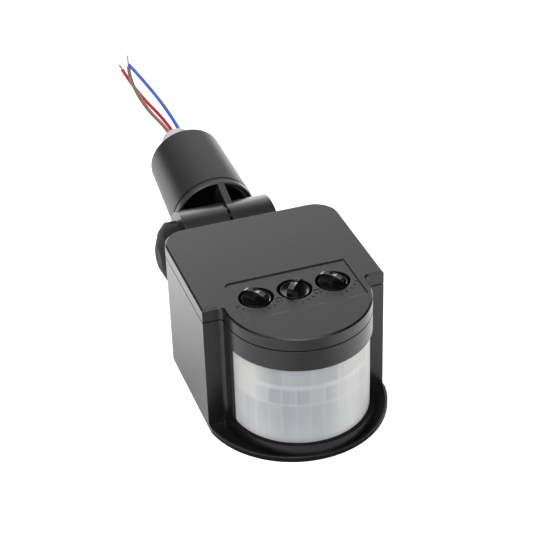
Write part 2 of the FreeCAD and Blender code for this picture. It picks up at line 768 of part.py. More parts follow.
def on_arm(piece):
    """Places a finished piece of the arm at the hinge, turned to the arm's rest angle."""
    piece.move(0.0, "hinge_back", "hinge_height", TILT_AXIS, "arm_tilt")


# The sleeve's axis passes a little above the hinge bolt. One wide rib joins the toothed
# barrel to the flange. Its crests face the bracket's crests, as when the joint is loose.
fork = Piece("arm_fork")
fork.solid("YZ", "joint_gap", "fork_right", circle(0.0, 0.0, "lug_radius"))
fork.solid("YZ", "joint_gap + 0.2", "joint_gap + rib_width",
           rectangle(4.0, "flange_back + 4.0",
                     "arm_rise - journal_inner - 0.4", "arm_rise + journal_inner + 0.4"))
fork.solid("XZ", "flange_front", "flange_back", circle(0.0, "arm_rise", "flange_radius"),
           circle(0.0, "arm_rise", "journal_inner"))
fork.solid("XZ", "flange_back - 1.0", "journal_end", circle(0.0, "arm_rise", "journal_radius"),
           circle(0.0, "arm_rise", "journal_inner"))
fork.cut("YZ", 0.0, "fork_right + 1.0", circle(0.0, 0.0, "bolt_radius"))
fork.cut("YZ", "fork_right - 3.5", "fork_right + 1.0", circle(0.0, 0.0, 5.0))
teeth(fork, "joint_gap - tooth_height", "joint_gap", 7.5)
on_arm(fork)

bolt = Piece("hinge_bolt")
hexagon = []
for step in range(6):
    turn = math.radians(60 * step)
    hexagon.append((round(4.4 * math.cos(turn), 4), round(4.4 * math.sin(turn), 4)))
bolt.solid("YZ", "fork_right - 3.5", "fork_right - 0.5", outline(*hexagon))
bolt.solid("YZ", "knob_face - 4.9", "fork_right - 3.0", circle(0.0, 0.0, "bolt_radius"))
on_arm(bolt)

washer = Piece("hinge_washer")
washer.solid("YZ", "lug_left - washer_thickness", "lug_left",
             circle(0.0, 0.0, "washer_radius"), circle(0.0, 0.0, "bolt_radius + 0.1"))
on_arm(washer)

# A domed knob with grooves around its rim for the fingers.
lock = Piece("lock_knob")
lock.spin("X", outline(
    ("knob_face", 0.0),
    ("knob_face", "lock_radius"),
    ("knob_face - lock_rim", "lock_radius"),
    ("knob_tip + 2.2", "lock_radius - 2.6"),
    ("knob_tip", "lock_radius - 7.5"),
    ("knob_tip", 0.0),
))
groove = lock.cut("YZ", "knob_face - lock_rim + 0.6", "knob_face + 1.0",
                  circle(0.0, "lock_radius + 0.7", "grip_groove"))
lock.repeat(groove, "lock_grips")
lock.cut("YZ", "insert_end", "knob_face + 1.0", circle(0.0, 0.0, "insert_radius"))
on_arm(lock)

insert = Piece("knob_insert")
insert.solid("YZ", "insert_end", "knob_face", circle(0.0, 0.0, "insert_radius"))
insert.cut("YZ", "insert_end + 0.4", "knob_face + 1.0", circle(0.0, 0.0, "bolt_clear"))
on_arm(insert)

sleeve = Piece("arm_sleeve")
sleeve.spin("Y", outline(
    ("sleeve_bore", "sleeve_start"),
    ("sleeve_radius", "sleeve_start"),
    ("sleeve_far_radius", "sleeve_end - sleeve_edge"),
    ("sleeve_far_radius - sleeve_edge", "sleeve_end"),
    ("outlet_radius", "sleeve_end"),
    ("outlet_radius", "collar_start"),
    ("sleeve_room", "collar_start"),
    ("sleeve_room", "journal_end + 0.4"),
    ("sleeve_bore", "journal_end + 0.4"),
), "arm_rise")
on_arm(sleeve)

# Each lead starts inside the collar. Its points count from the middle of the collar's end.
WIRES = [
    ("blue_wire", [(3.4, -6.0, 0.2), (3.4, 6.5, 0.3), (0.74, 30.28, 2.09), (-4.47, 51.72, 3.85)]),
    ("brown_wire", [(-1.0, -6.0, 0.6), (-1.0, 6.0, 0.65), (-5.6, 23.0, 1.1), (-6.6, 43.0, 1.95),
                    (-2.7, 61.1, 2.7)]),
    ("red_wire", [(1.2, -6.0, -0.6), (1.2, 10.0, -0.6), (-5.44, 38.9, -0.8), (-7.7, 56.2, 2.0)]),
]

collar = Piece("wire_collar")
collar.spin("Y", outline(
    (0.0, "collar_start - 2.4"),
    ("collar_flange", "collar_start - 2.4"),
    ("collar_flange", "collar_start"),
    ("collar_neck", "collar_start"),
    ("collar_neck", "sleeve_end"),
    ("collar_tip", "collar_end"),
    (0.0, "collar_end"),
), "arm_rise")
collar.cut("XZ", "collar_start - 3.4", "collar_end - wire_grip - 1.0",
           circle(0.0, "arm_rise", "collar_bore"))
# Each wire enters through its own tight hole.
for name, route in WIRES:
    start = route[0]
    collar.cut("XZ", "collar_end - wire_grip - 2.0", "collar_end + 1.0",
               circle(start[0], "arm_rise + %s" % start[2] if start[2] >= 0 else "arm_rise - %s" % -start[2],
                      "wire_radius"))
on_arm(collar)


def tube(label, route):
    """A round wire of straight runs joined by tangent arcs."""
    points = [Vector(x, number("collar_end") + y, number("arm_rise") + z) for x, y, z in route]
    edges = []
    radii = []
    start = points[0]
    for before, corner, after in zip(points, points[1:], points[2:]):
        come = (corner - before).normalize()
        go = (after - corner).normalize()
        half_turn = 0.5 * come.getAngle(go)
        shorter = min((corner - before).Length, (after - corner).Length)
        trim = 0.45 * shorter
        radius = trim / math.tan(half_turn)
        first = corner - come * trim
        last = corner + go * trim
        inward = (go - come).normalize()
        middle = corner + inward * (radius / math.cos(half_turn) - radius)
        edges.append(Part.makeLine(start, first))
        edges.append(Part.Arc(first, middle, last).toShape())
        radii.append(round(radius, 1))
        start = last
    edges.append(Part.makeLine(start, points[-1]))
    path = Part.Wire(edges)
    ring = Part.Wire([Part.makeCircle(value_of["wire_radius"], points[0], points[1] - points[0])])
    node = doc.addObject("Part::Feature", label)
    node.Label = label
    node.Shape = path.makePipeShell([ring], True, True)
    turn = App.Rotation(TILT_AXIS, value_of["arm_tilt"])
    node.Placement = App.Placement(Vector(0, value_of["hinge_back"], value_of["hinge_height"]), turn)
    print(label, "length", round(path.Length, 1), "radii", radii)
    return node


wires = [tube(name, route) for name, route in WIRES]

# Checks and files.

doc.recompute()
for item in doc.Objects:
    if "Invalid" in item.State or "Error" in item.State:
        raise RuntimeError("%s is %s" % (item.Name, item.State))

nodes = [item for item in doc.Objects if item.TypeId == "PartDesign::Body"] + wires
os.makedirs("parts", exist_ok=True)
for node in nodes:
    shape = node.Shape
    if shape.isNull() or not shape.isValid() or len(shape.Solids) != 1:
        raise RuntimeError("%s is not one sound solid" % node.Label)
    shape.exportStep("parts/%s.step" % node.Label)
    box = shape.BoundBox
    print("%-22s %9.1f mm3  x %6.1f %6.1f  y %6.1f %6.1f  z %6.1f %6.1f" % (
        node.Label, shape.Volume, box.XMin, box.XMax, box.YMin, box.YMax, box.ZMin, box.ZMax))
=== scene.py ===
"""Looks of a passive infrared motion sensor switch: camera, light, materials and fine pieces."""
import math

import bmesh
import bpy
from mathutils import Matrix, Vector


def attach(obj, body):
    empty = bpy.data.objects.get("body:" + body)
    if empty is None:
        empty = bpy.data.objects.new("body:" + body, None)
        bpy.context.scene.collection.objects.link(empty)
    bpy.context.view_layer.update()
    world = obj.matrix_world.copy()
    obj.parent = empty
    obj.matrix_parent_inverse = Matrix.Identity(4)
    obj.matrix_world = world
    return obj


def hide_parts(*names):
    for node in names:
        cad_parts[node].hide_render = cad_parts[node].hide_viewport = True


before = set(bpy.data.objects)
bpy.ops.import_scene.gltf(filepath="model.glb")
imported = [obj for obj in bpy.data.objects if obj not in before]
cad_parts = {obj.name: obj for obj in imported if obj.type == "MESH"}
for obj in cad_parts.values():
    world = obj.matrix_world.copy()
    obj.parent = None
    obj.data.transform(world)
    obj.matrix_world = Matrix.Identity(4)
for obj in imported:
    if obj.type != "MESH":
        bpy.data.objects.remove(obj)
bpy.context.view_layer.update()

# Main places of the solids, in millimetres: the hinge, the drum's axis, the window's lower and upper
# edge, and the station of the ring's face. The arm's axes start near the hinge and rise with the arm.
MM = 0.001
HINGE = Vector((0.0, 71.1, 23.5))
TILT = math.radians(7.5)
ARM_RISE = 1.0
ARM = Matrix.Translation(HINGE) @ Matrix.Rotation(TILT, 4, "X") @ Matrix.Translation((0.0, 0.0, ARM_RISE))
DRUM_Y = -2.43
WINDOW_LOW = 5.7
WINDOW_HIGH = 34.9
RING_FACE = 14.9


def on_arm(point):
    """A point given in the arm's own axes, in millimetres, in the scene's metres."""
    return (ARM @ Vector(point)) * MM


# Camera: its place in metres, the way it looks, its roll in degrees and its focal length in millimetres.
CAMERA_PLACE = Vector((-0.141214, -0.403673, 0.335127))
CAMERA_AHEAD = Vector((0.26076, 0.79652, -0.54548))
CAMERA_ROLL = -1.97
CAMERA_LENS = 108.76


def aim_camera():
    """The photograph's viewpoint, fitted to the edges of the head."""
    ahead = CAMERA_AHEAD.normalized()
    right = ahead.cross(Vector((0.0, 0.0, 1.0))).normalized()
    up = right.cross(ahead)
    roll = math.radians(CAMERA_ROLL)
    side = right * math.cos(roll) + up * math.sin(roll)
    top = up * math.cos(roll) - right * math.sin(roll)
    data = bpy.data.cameras.new("photo_camera")
    data.sensor_width = 36.0
    data.sensor_height = 36.0
    data.sensor_fit = "HORIZONTAL"
    data.lens = CAMERA_LENS
    data.clip_start = 0.01
    data.clip_end = 20.0
    camera = bpy.data.objects.new("photo_camera", data)
    turn = Matrix((side, top, -ahead)).transposed().to_4x4()
    camera.matrix_world = Matrix.Translation(CAMERA_PLACE) @ turn
    bpy.context.scene.collection.objects.link(camera)
    bpy.context.scene.camera = camera


aim_camera()


# Material helpers.

class Shader:
    """A small builder for node materials with one glossy-and-diffuse surface."""

    def __init__(self, name):
        self.material = bpy.data.materials.new(name)
        self.material.use_nodes = True
        self.tree = self.material.node_tree
        self.nodes = self.tree.nodes
        self.nodes.clear()
        output = self.nodes.new("ShaderNodeOutputMaterial")
        self.surface = self.nodes.new("ShaderNodeBsdfPrincipled")
        self.join(self.surface.outputs[0], output.inputs["Surface"])
        self.place = self.nodes.new("ShaderNodeTexCoord").outputs["Object"]

    def axes(self):
        """The three coordinates of the shaded point, in metres."""
        apart = self.nodes.new("ShaderNodeSeparateXYZ")
        self.join(self.place, apart.inputs[0])
        return apart.outputs

    def join(self, source, target):
        """Links one socket to another."""
        self.tree.links.new(source, target)

    def noise(self, scale, detail, stretch=None):
        """Noise between 0 and 1, with its scale in bumps a metre. A stretch changes it along each axis."""
        node = self.nodes.new("ShaderNodeTexNoise")
        node.inputs["Scale"].default_value = scale
        node.inputs["Detail"].default_value = detail
        source = self.place
        if stretch:
            mapping = self.nodes.new("ShaderNodeMapping")
            mapping.inputs["Scale"].default_value = stretch
            self.join(source, mapping.inputs["Vector"])
            source = mapping.outputs["Vector"]
        self.join(source, node.inputs["Vector"])
        return node.outputs["Fac"]

    def spread(self, value, low, high, from_low=0.3, from_high=0.7):
        """Maps the span between two values to the span between low and high, held at both ends."""
        node = self.nodes.new("ShaderNodeMapRange")
        node.inputs["From Min"].default_value = from_low
        node.inputs["From Max"].default_value = from_high
        node.inputs["To Min"].default_value = low
        node.inputs["To Max"].default_value = high
        self.join(value, node.inputs["Value"])
        return node.outputs["Result"]

    def math(self, operation, first, *others):
        """One step of arithmetic on numbers or sockets."""
        node = self.nodes.new("ShaderNodeMath")
        node.operation = operation
        for index, value in enumerate((first, *others)):
            if isinstance(value, (int, float)):
                node.inputs[index].default_value = value
            else:
                self.join(value, node.inputs[index])
        return node.outputs[0]

    def product(self, first, *others):
        """The values multiplied together, in the order given."""
        for other in others:
            first = self.math("MULTIPLY", first, other)
        return first

    def blend(self, factor, first, second, kind="MIX"):
        """Mixes two colours. The factor is a number or a socket, and each colour a tuple or a socket."""
        node = self.nodes.new("ShaderNodeMix")
        node.data_type = "RGBA"
        node.blend_type = kind
        if isinstance(factor, (int, float)):
            node.inputs[0].default_value = factor
        else:
            self.join(factor, node.inputs[0])
        for index, value in ((6, first), (7, second)):
            if isinstance(value, (tuple, list)):
                node.inputs[index].default_value = (*value[:3], 1.0)
            else:
                self.join(value, node.inputs[index])
        return node.outputs[2]

    def rounded(self, radius):
        """A normal that softens edges over a small radius."""
        node = self.nodes.new("ShaderNodeBevel")
        node.samples = 6
        node.inputs["Radius"].default_value = radius
        return node.outputs["Normal"]

    def bump(self, height, strength, distance, normal=None):
        """Bends the surface's normal by a height map. The distance is in metres."""
        node = self.nodes.new("ShaderNodeBump")
        node.inputs["Strength"].default_value = strength
        node.inputs["Distance"].default_value = distance
        self.join(height, node.inputs["Height"])
        if normal is not None:
            self.join(normal, node.inputs["Normal"])
        self.join(node.outputs["Normal"], self.surface.inputs["Normal"])

    def set(self, **values):
        """Gives the surface its values: numbers, colours or sockets."""
        names = {"colour": "Base Color", "roughness": "Roughness", "metallic": "Metallic", "ior": "IOR",
                 "transmission": "Transmission Weight", "level": "Specular IOR Level"}
        for key, value in values.items():
            socket = self.surface.inputs[names[key]]
            if isinstance(value, (tuple, list)):
                socket.default_value = (*value[:3], 1.0)
            elif isinstance(value, (int, float)):
                socket.default_value = value
            else:
                self.join(value, socket)


# Fine grain of the plastics: bumps a metre, and two depths in metres.
GRAIN = 2600.0
SMOOTH = 0.000005
SATIN = 0.000008
# Heights in metres, between the brim's floor and its rim, where the dull floor gives way to gloss.
DULL_BELOW = 0.0014
GLOSSY_ABOVE = 0.0018


def brim_gloss(shader, level):
    """The case's gloss, which is dull on the brim's floor and on the ledge under the lens."""
    x, y, z = shader.axes()
    floor = shader.spread(z, 1.0, 0.0, DULL_BELOW, GLOSSY_ABOVE)
    ledge = shader.math("COMPARE", z, WINDOW_LOW * MM, 0.0001)
    ahead = shader.spread(y, 1.0, 0.0, -0.004, -0.002)
    dull = shader.product(shader.math("MAXIMUM", floor, ledge), ahead)
    return shader.spread(dull, level, 0.08, 0.0, 1.0)


def moulded(name, colour, low=0.36, high=0.46, grain=GRAIN, depth=0.000012, edge=0.00025, level=0.5,
            vary=0.12, dull_brim=False):
    """Moulded plastic: a fine even grain, faint flow clouds and softened edges."""
    shader = Shader(name)
    if dull_brim:
        level = brim_gloss(shader, level)
    cloud = shader.noise(55.0, 3.0)
    fine = shader.noise(grain, 2.0)
    dark = [value * (1.0 - vary) for value in colour]
    light = [min(1.0, value * (1.0 + vary)) for value in colour]
    shader.set(colour=shader.blend(shader.spread(cloud, 0.0, 1.0), dark, light),
               roughness=shader.spread(fine, low, high), level=level)
    shader.bump(fine, 0.5, depth, shader.rounded(edge) if edge else None)
    return shader.material


# Paler grey of the ring's front face, its bead and the rib's crest: a painted highlight for the light that
# these faces catch.
RING_HIGHLIGHT_GREY = (0.045, 0.045, 0.0455)


def fork_plastic(name):
    """Moulded plastic with a painted highlight: paler on the front face of the ring, where it meets the
    sleeve.
    """
    shader = Shader(name)
    fine = shader.noise(GRAIN, 2.0)
    x, y, z = shader.axes()
    along = shader.math("ADD", shader.product(y, math.cos(TILT)), shader.product(z, math.sin(TILT)))
    face = (HINGE.y * math.cos(TILT) + HINGE.z * math.sin(TILT) + RING_FACE) * MM
    # Mask of the painted highlight: the ring's front face, a short way along the arm.
    front = shader.spread(along, 0.0, 1.0, face, face + 0.0004)
    behind = shader.spread(along, 1.0, 0.0, face + 0.0015, face + 0.0025)
    shader.set(colour=shader.blend(shader.product(front, behind), (0.014, 0.014, 0.0142), RING_HIGHLIGHT_GREY),
               roughness=shader.spread(fine, 0.28, 0.34))
    shader.bump(fine, 0.5, SATIN, shader.rounded(0.00025))
    return shader.material


# Slope of a knob's disc, which dips a little towards its middle.
BOWL = 0.3


def knob_plastic(name, middle):
    """Glossy plastic, bent by the dip of the knob's disc, so that it mirrors unevenly."""
    shader = Shader(name)
    fine = shader.noise(2400.0, 2.0)
    shift = shader.nodes.new("ShaderNodeVectorMath")
    shift.operation = "SUBTRACT"
    shader.join(shader.place, shift.inputs[0])
    shift.inputs[1].default_value = (middle[0] * MM, middle[1] * MM, 0.0)
    flat = shader.nodes.new("ShaderNodeVectorMath")
    flat.operation = "MULTIPLY"
    flat.inputs[1].default_value = (1.0, 1.0, 0.0)
    shader.join(shift.outputs[0], flat.inputs[0])
    reach = shader.nodes.new("ShaderNodeVectorMath")
    reach.operation = "LENGTH"
    shader.join(flat.outputs[0], reach.inputs[0])
    dark, light = (0.0045, 0.0045, 0.0047), (0.006, 0.006, 0.0062)
    shader.set(colour=shader.blend(shader.spread(fine, 0.0, 1.0), dark, light),
               roughness=shader.spread(fine, 0.16, 0.24), level=0.45)
    shader.bump(reach.outputs["Value"], 1.0, BOWL, shader.rounded(0.0002))
    return shader.material


def metal(name, colour, roughness):
    """Metal with fine drawn or turned lines."""
    shader = Shader(name)
    lines = shader.noise(900.0, 2.0, (1.0, 1.0, 12.0))
    dark = [value * 0.85 for value in colour]
    shader.set(colour=shader.blend(shader.spread(lines, 0.0, 1.0), dark, colour), metallic=1.0,
               roughness=shader.spread(lines, roughness - 0.08, roughness + 0.1))
    shader.bump(lines, 0.35, 0.00001)
    return shader.material


def laminate(name, colour):
    """Circuit board: woven glass under a green lacquer."""
    shader = Shader(name)
    across = shader.noise(2400.0, 0.0, (1.0, 0.08, 0.08))
    along = shader.noise(2400.0, 0.0, (0.08, 1.0, 1.0))
    weave = shader.product(across, along)
    dark = [value * 0.7 for value in colour]
    shader.set(colour=shader.blend(shader.spread(weave, 0.0, 1.0, 0.15, 0.4), dark, colour), roughness=0.3)
    shader.bump(weave, 0.3, 0.00002)
    return shader.material


# Materials of the solids. The axes of the knobs are in millimetres.
KNOBS = {"left_knob": (-12.4, 1.5), "middle_knob": (0.7, 1.5), "right_knob": (13.8, 1.5)}
BLACK = (0.0065, 0.0065, 0.0067)
body_black = moulded("body_black", BLACK, 0.27, 0.31, depth=SMOOTH)
case_black = moulded("case_black", BLACK, 0.27, 0.31, depth=SMOOTH, dull_brim=True)
knob_skins = {name: knob_plastic(name + "_black", middle) for name, middle in KNOBS.items()}
fork_black = fork_plastic("fork_black")
# The bead and the rib's crest are painted a paler grey than the black plastic: a painted highlight.
painted_highlight_plastic = moulded("painted_highlight_plastic", RING_HIGHLIGHT_GREY, 0.3, 0.36, depth=SATIN)
sleeve_black = moulded("sleeve_black", (0.006, 0.006, 0.0062), 0.38, 0.44, depth=SATIN)
lock_black = moulded("lock_black", (0.012, 0.012, 0.0122), 0.6, 0.7, level=0.2)
gasket_rubber = moulded("gasket_rubber", (0.006, 0.006, 0.0065), 0.75, 0.9, edge=None, level=0.15)
part_black = moulded("part_black", (0.02, 0.02, 0.02), 0.4, 0.5)
steel = metal("zinc_steel", (0.62, 0.62, 0.6), 0.3)
can_steel = metal("can_steel", (0.7, 0.69, 0.66), 0.25)
brass = metal("turned_brass", (0.72, 0.52, 0.26), 0.28)
board_green = laminate("board_green", (0.03, 0.16, 0.06))
trimmer_blue = moulded("trimmer_blue", (0.03, 0.09, 0.32), 0.35, 0.45)
relay_blue = moulded("relay_blue", (0.02, 0.07, 0.3), 0.28, 0.36)
film_yellow = moulded("film_yellow", (0.6, 0.42, 0.05), 0.3, 0.4)
can_sleeve = moulded("can_sleeve", (0.02, 0.025, 0.05), 0.25, 0.35)
surge_blue = moulded("surge_blue", (0.03, 0.12, 0.35), 0.4, 0.55, depth=0.00004)
cell_amber = moulded("cell_amber", (0.5, 0.3, 0.1), 0.15, 0.25)
filter_dark = moulded("filter_dark", (0.02, 0.012, 0.02), 0.06, 0.12, edge=None)
collar_white = moulded("collar_white", (0.48, 0.485, 0.48), 0.35, 0.45, vary=0.04)

NODE_MATERIALS = {
    "housing": case_black, "top_cover": body_black, "cover_gasket": gasket_rubber,
    "rear_bracket": fork_black, "arm_fork": fork_black, "arm_sleeve": sleeve_black, "lock_knob": lock_black,
    "front_left_screw": steel, "front_right_screw": steel, "rear_left_screw": steel,
    "rear_right_screw": steel, "bracket_screw_upper": steel, "bracket_screw_lower": steel,
    "hinge_bolt": steel, "hinge_washer": steel, "knob_insert": brass,
    "left_trimmer": trimmer_blue, "middle_trimmer": trimmer_blue, "right_trimmer": trimmer_blue,
    "control_board": board_green, "main_board": board_green, "board_header": part_black,
    "sensor_can": can_steel, "sensor_window": filter_dark, "sensor_pin_left": can_steel,
    "sensor_pin_right": can_steel, "sensor_pin_lower": can_steel, "light_sensor": cell_amber,
    "relay": relay_blue, "film_capacitor": film_yellow, "smoothing_capacitor": can_sleeve,
    "driver_chip": part_black, "surge_disc": surge_blue, "wire_collar": collar_white,
    **knob_skins,
}

for node_name, node_material in NODE_MATERIALS.items():
    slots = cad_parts[node_name].data.materials
    slots.clear()
    slots.append(node_material)


def add_mesh(name, mesh_data, material, body, smooth=35.0):
    """Adds a finished bmesh as a piece that rides on a body."""
    mesh = bpy.data.meshes.new(name)
    mesh_data.to_mesh(mesh)
    mesh_data.free()
    for face in mesh.polygons:
        face.use_smooth = True
    mesh.set_sharp_from_angle(angle=math.radians(smooth))
    piece = bpy.data.objects.new(name, mesh)
    bpy.context.scene.collection.objects.link(piece)
    mesh.materials.append(material)
    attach(piece, body)
    return piece


# Wire leads on the routes of the solids, in the arm's axes.

# Each lead has a name, a colour, the length of its bare end and a route, whose stations count from the
# collar's end.
COLLAR_END = 66.0
LEADS = [
    ("blue_wire", (0.06, 0.12, 0.52), 0.0, [
        (3.4, -6.0, 0.2), (3.4, 6.5, 0.3), (0.74, 30.28, 2.09), (-4.47, 51.72, 3.85)]),
    ("brown_wire", (0.21, 0.125, 0.09), 9.0, [
        (-1.0, -6.0, 0.6), (-1.0, 6.0, 0.65), (-5.6, 23.0, 1.1), (-6.6, 43.0, 1.95), (-2.7, 61.1, 2.7)]),
    ("red_wire", (0.45, 0.015, 0.02), 4.0, [
        (1.2, -6.0, -0.6), (1.2, 10.0, -0.6), (-5.44, 38.9, -0.8), (-7.7, 56.2, 2.0)]),
]
WIRE_RADIUS = 0.75
# A lead's curve rounds off the corners of its route, and so is a little shorter.
# Bare end: the radius of a strand, how far the outer strands lie from the middle one, and their twist
# in radians a millimetre.
STRAND_RADIUS = 0.14
STRAND_LAY = 0.26
STRAND_TWIST = 0.75


def lead(name, colour, bare, route):
    """One insulated lead, and the bare twisted strands at its end."""
    points = [Vector((x, COLLAR_END + y, z)) for x, y, z in route]
    tip = points[-1].copy()
    if bare:
        back = (points[-2] - points[-1]).normalized()
        points[-1] = points[-1] + back * bare
    data = bpy.data.curves.new(name + "_cover", "CURVE")
    data.dimensions = "3D"
    data.bevel_depth = WIRE_RADIUS * MM
    data.bevel_resolution = 5
    data.resolution_u = 10
    data.use_fill_caps = True
    spline = data.splines.new("NURBS")
    spline.points.add(len(points) - 1)
    for target, point in zip(spline.points, points):
        target.co = (*on_arm(point), 1.0)
    spline.order_u = 3
    spline.use_endpoint_u = True
    piece = bpy.data.objects.new(name + "_cover", data)
    bpy.context.scene.collection.objects.link(piece)
    cover = moulded(name + "_insulation", colour, 0.25, 0.35, grain=1500.0, edge=None, vary=0.08)
    data.materials.append(cover)
    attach(piece, "sleeve")
    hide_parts(name)
    if bare:
        strands(name + "_strands", points[-1], tip)


def strands(name, start, end):
    """Seven thin copper strands, twisted together and tinned, which fray a little at the tip."""
    shape = bmesh.new()
    ahead = (end - start).normalized()
    side = ahead.cross(Vector((0.0, 0.0, 1.0))).normalized()
    top = side.cross(ahead)
    reach = (end - start).length
    steps = 26
    for strand in range(7):
        loops = []
        spin = 2.0 * math.pi * strand / 6.0
        offset = 0.0 if strand == 6 else STRAND_LAY
        finish = reach * (1.0 - 0.035 * ((strand * 5) % 7))
        for step in range(steps + 1):
            along = -0.6 + (finish + 0.6) * step / steps
            twist = spin + along * STRAND_TWIST
            fray = 1.0 + 0.35 * max(0.0, along / reach - 0.7) * (1.0 + strand % 3)
            centre = start + ahead * along + (side * math.cos(twist) + top * math.sin(twist)) * offset * fray
            radius = STRAND_RADIUS if step < steps else 0.08
            ring = []
            for corner in range(6):
                turn = 2.0 * math.pi * corner / 6.0
                ring.append(shape.verts.new(on_arm(
                    centre + (side * math.cos(turn) + top * math.sin(turn)) * radius)))
            loops.append(ring)
        for first, second in zip(loops, loops[1:]):
            for corner in range(6):
                shape.faces.new((first[corner], first[(corner + 1) % 6],
                                 second[(corner + 1) % 6], second[corner]))
        shape.faces.new(list(reversed(loops[0])))
        shape.faces.new(loops[-1])
    return add_mesh(name, shape, tinned, "sleeve")


tinned = metal("tinned_strands", (0.55, 0.52, 0.49), 0.35)
for lead_facts in LEADS:
    lead(*lead_facts)


# Fine pieces of the case and the arm.

# Edge strips on the window's jambs: inner and outer radius, and the angle that each one spans.
JAMB_IN = 23.5
JAMB_OUT = 24.25
JAMB_SPAN = 8.0
# Tick marks: their foot and top, half their width, the radii where they start and end, their number,
# and the first one's direction and their spacing in degrees.
TICK_LOW = 46.7
TICK_HIGH = 46.93
TICK_HALF = 0.14
TICK_START = 6.9
TICK_LONG = 8.3
TICK_SHORT = 7.7
TICKS = 9
TICK_FIRST = -160.0
TICK_STEP = 17.5
# Shapes on the arm: (radius, station) of the ring's mouth, radius, station and thickness of its bead,
# and (station, height) of the rib's crest with the places of its two sides.
BEAD = (14.95, 15.45, 0.4)
MOUTH = [(12.3, 15.0), (14.75, 15.0), (14.75, 15.5), (12.65, 17.6), (12.3, 17.6)]
CREST = [(4.6, 13.2), (6.0, 10.5), (15.9, 12.5), (15.9, 15.0)]
CREST_SIDES = (0.8, 3.15)


def curved_bar(shape, inner, outer, first, last, low, high, steps):
    """A piece of a round wall about the drum's axis, between two angles and two heights."""
    rings = []
    for step in range(steps + 1):
        turn = math.radians(first + (last - first) * step / steps)
        ring = []
        for radius, height in ((inner, low), (outer, low), (outer, high), (inner, high)):
            point = Vector((radius * math.sin(turn), DRUM_Y - radius * math.cos(turn), height))
            ring.append(shape.verts.new(point * MM))
        rings.append(ring)
    for one, two in zip(rings, rings[1:]):
        for side in range(4):
            shape.faces.new((one[side], one[(side + 1) % 4], two[(side + 1) % 4], two[side]))
    shape.faces.new(list(reversed(rings[0])))
    shape.faces.new(rings[-1])
    bmesh.ops.recalc_face_normals(shape, faces=shape.faces)


for side, start in (("left", -90.0), ("right", 90.0 - JAMB_SPAN)):
    jamb = bmesh.new()
    curved_bar(jamb, JAMB_IN, JAMB_OUT, start, start + JAMB_SPAN, WINDOW_LOW, WINDOW_HIGH, 6)
    add_mesh(side + "_jamb_edge", jamb, body_black, "head")


def panel_ticks():
    """Plain raised tick marks in the label panel, fanned round the front of each knob."""
    shape = bmesh.new()
    for middle_x, middle_y in KNOBS.values():
        for mark in range(TICKS):
            turn = math.radians(TICK_FIRST + TICK_STEP * mark)
            near, far = TICK_START, TICK_LONG if mark % 4 == 0 else TICK_SHORT
            ahead = Vector((math.cos(turn), math.sin(turn), 0.0))
            aside = Vector((-ahead.y, ahead.x, 0.0)) * TICK_HALF
            centre = Vector((middle_x, middle_y, 0.0))
            corners = [centre + ahead * near - aside, centre + ahead * far - aside,
                       centre + ahead * far + aside, centre + ahead * near + aside]
            low, high = [[shape.verts.new((corner + Vector((0.0, 0.0, height))) * MM) for corner in corners]
                         for height in (TICK_LOW, TICK_HIGH)]
            for step in range(4):
                shape.faces.new((low[step], low[(step + 1) % 4], high[(step + 1) % 4], high[step]))
            shape.faces.new(high)
            shape.faces.new(list(reversed(low)))
    add_mesh("panel_ticks", shape, tick_black, "head")


tick_black = moulded("tick_black", (0.02, 0.02, 0.0205), 0.14, 0.2, edge=0.00008)
panel_ticks()


def turned_ring(shape, profile):
    """Turns a closed profile of (radius, station) pairs round the arm's axis."""
    steps = 96
    loops = []
    for step in range(steps):
        turn = 2.0 * math.pi * step / steps
        loops.append([shape.verts.new(on_arm((radius * math.cos(turn), along, radius * math.sin(turn))))
                      for radius, along in profile])
    count = len(profile)
    for step in range(steps):
        one, two = loops[step], loops[(step + 1) % steps]
        for side in range(count):
            shape.faces.new((one[side], one[(side + 1) % count], two[(side + 1) % count], two[side]))
    bmesh.ops.recalc_face_normals(shape, faces=shape.faces)


def bead(radius, along, thickness):
    """The round profile of a bead, for turning."""
    return [(radius + thickness * math.cos(turn * math.pi / 6.0),
             along + thickness * math.sin(turn * math.pi / 6.0)) for turn in range(12)]


flange_bead = bmesh.new()
turned_ring(flange_bead, bead(*BEAD))
add_mesh("flange_bead", flange_bead, painted_highlight_plastic, "arm", 60.0)


def rib_crest():
    """The rib's sloping crest, from the barrel's back up to the ring."""
    shape = bmesh.new()
    walls = [[shape.verts.new(on_arm((x, along, rise))) for along, rise in CREST] for x in CREST_SIDES]
    for step in range(4):
        shape.faces.new((walls[0][step], walls[0][(step + 1) % 4], walls[1][(step + 1) % 4], walls[1][step]))
    shape.faces.new(walls[0])
    shape.faces.new(walls[1])
    bmesh.ops.recalc_face_normals(shape, faces=shape.faces)
    add_mesh("rib_crest", shape, painted_highlight_plastic, "arm")


rib_crest()


